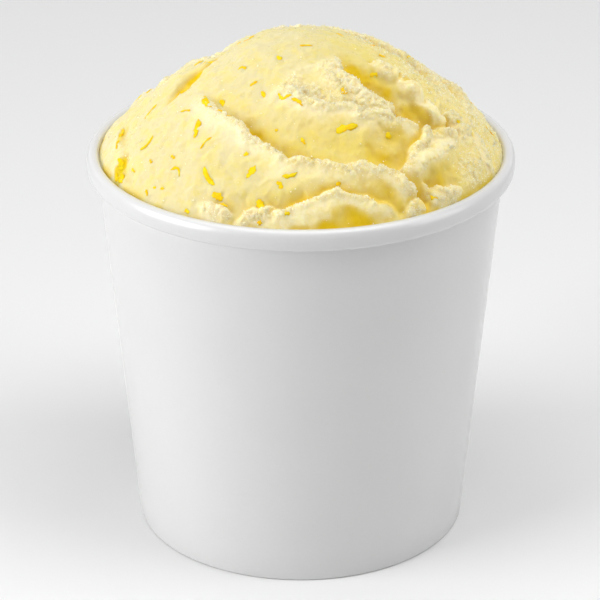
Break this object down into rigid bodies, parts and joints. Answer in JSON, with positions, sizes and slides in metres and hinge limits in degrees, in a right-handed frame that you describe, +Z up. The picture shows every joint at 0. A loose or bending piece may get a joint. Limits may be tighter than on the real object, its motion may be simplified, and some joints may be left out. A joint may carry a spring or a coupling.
{
  "type": "pint of sorbet",
  "caption": "Round tapered white paper pint cup with a rolled rim, filled and heaped high with folded, grainy lemon sorbet flecked with citrus zest.",
  "frame": {"origin": "centre of the cup's foot, on the surface it stands on", "axes": "+Z up along the cup's axis, +Y away from the viewer of the cup's front, +X to the viewer's right"},
  "size_m": [0.098, 0.098, 0.1193],
  "materials": {
    "coated_paper": "satin",
    "base_paper": "matte",
    "lemon_sorbet": "satin"
  },
  "bodies": {
    "root": {"cup_wall": "coated_paper", "cup_base": "base_paper", "sorbet": "lemon_sorbet"}
  },
  "joints": []
}
